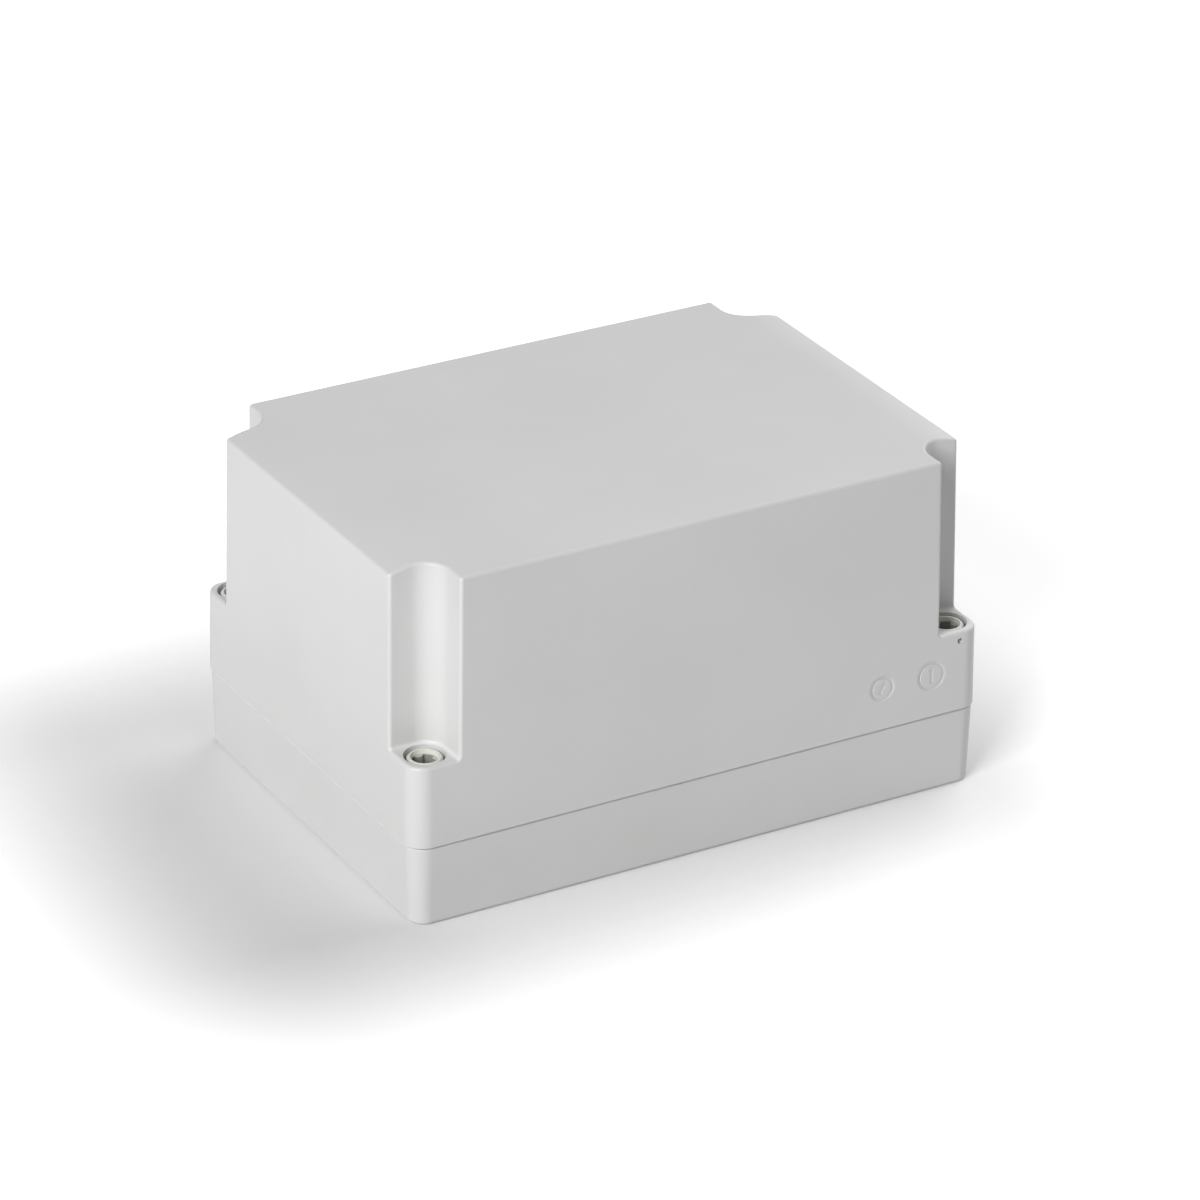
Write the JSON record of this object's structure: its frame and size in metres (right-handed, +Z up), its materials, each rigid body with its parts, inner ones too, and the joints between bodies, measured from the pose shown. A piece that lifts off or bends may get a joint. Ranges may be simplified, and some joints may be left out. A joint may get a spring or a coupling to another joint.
{
  "type": "plastic project box",
  "caption": "Tall rectangular moulded enclosure: shallow base, deep lid with screwdriver channels at its corners, sealed rim and captive lid screws.",
  "frame": {"origin": "middle of the underside", "axes": "+X along the length, +Y from the front to the back, +Z up from the base to the lid"},
  "size_m": [0.16, 0.113, 0.0905],
  "materials": {
    "enclosure_plastic": "satin light grey",
    "seal_rubber": "matt black foam rubber",
    "screw_polyamide": "satin off-white",
    "insert_brass": "turned"
  },
  "bodies": {
    "base_half": {"base": "enclosure_plastic", "threaded_insert_front_left": "insert_brass", "threaded_insert_front_right": "insert_brass", "threaded_insert_back_left": "insert_brass", "threaded_insert_back_right": "insert_brass"},
    "lid_half": {"lid": "enclosure_plastic", "gasket": "seal_rubber"},
    "retainer_front_left": {"screw_retainer_front_left": "screw_polyamide"},
    "screw_front_left": {"lid_screw_front_left": "screw_polyamide"},
    "retainer_front_right": {"screw_retainer_front_right": "screw_polyamide"},
    "screw_front_right": {"lid_screw_front_right": "screw_polyamide"},
    "retainer_back_left": {"screw_retainer_back_left": "screw_polyamide"},
    "screw_back_left": {"lid_screw_back_left": "screw_polyamide"},
    "retainer_back_right": {"screw_retainer_back_right": "screw_polyamide"},
    "screw_back_right": {"lid_screw_back_right": "screw_polyamide"}
  },
  "joints": [
    {"name": "lid_lift", "type": "slide", "parent": "base_half", "child": "lid_half", "axis": [0, 0, 1], "range_m": [0, 0.12]},
    {"name": "screw_rise_front_left", "type": "slide", "parent": "lid_half", "child": "retainer_front_left", "axis": [0, 0, 1], "range_m": [0, 0.0094]},
    {"name": "screw_turn_front_left", "type": "hinge", "parent": "retainer_front_left", "child": "screw_front_left", "pos_m": [-0.0732, -0.0497, 0.037], "axis": [0, 0, 1], "range_deg": [0, 1440]},
    {"name": "screw_rise_front_right", "type": "slide", "parent": "lid_half", "child": "retainer_front_right", "axis": [0, 0, 1], "range_m": [0, 0.0094]},
    {"name": "screw_turn_front_right", "type": "hinge", "parent": "retainer_front_right", "child": "screw_front_right", "pos_m": [0.0732, -0.0497, 0.037], "axis": [0, 0, 1], "range_deg": [0, 1440]},
    {"name": "screw_rise_back_left", "type": "slide", "parent": "lid_half", "child": "retainer_back_left", "axis": [0, 0, 1], "range_m": [0, 0.0094]},
    {"name": "screw_turn_back_left", "type": "hinge", "parent": "retainer_back_left", "child": "screw_back_left", "pos_m": [-0.0732, 0.0497, 0.037], "axis": [0, 0, 1], "range_deg": [0, 1440]},
    {"name": "screw_rise_back_right", "type": "slide", "parent": "lid_half", "child": "retainer_back_right", "axis": [0, 0, 1], "range_m": [0, 0.0094]},
    {"name": "screw_turn_back_right", "type": "hinge", "parent": "retainer_back_right", "child": "screw_back_right", "pos_m": [0.0732, 0.0497, 0.037], "axis": [0, 0, 1], "range_deg": [0, 1440]}
  ],
  "couplings": [
    {"joint": "screw_turn_front_left", "follows": "screw_rise_front_left", "rad_per_m": 2673.7},
    {"joint": "screw_turn_front_right", "follows": "screw_rise_front_right", "rad_per_m": 2673.7},
    {"joint": "screw_turn_back_left", "follows": "screw_rise_back_left", "rad_per_m": 2673.7},
    {"joint": "screw_turn_back_right", "follows": "screw_rise_back_right", "rad_per_m": 2673.7}
  ]
}
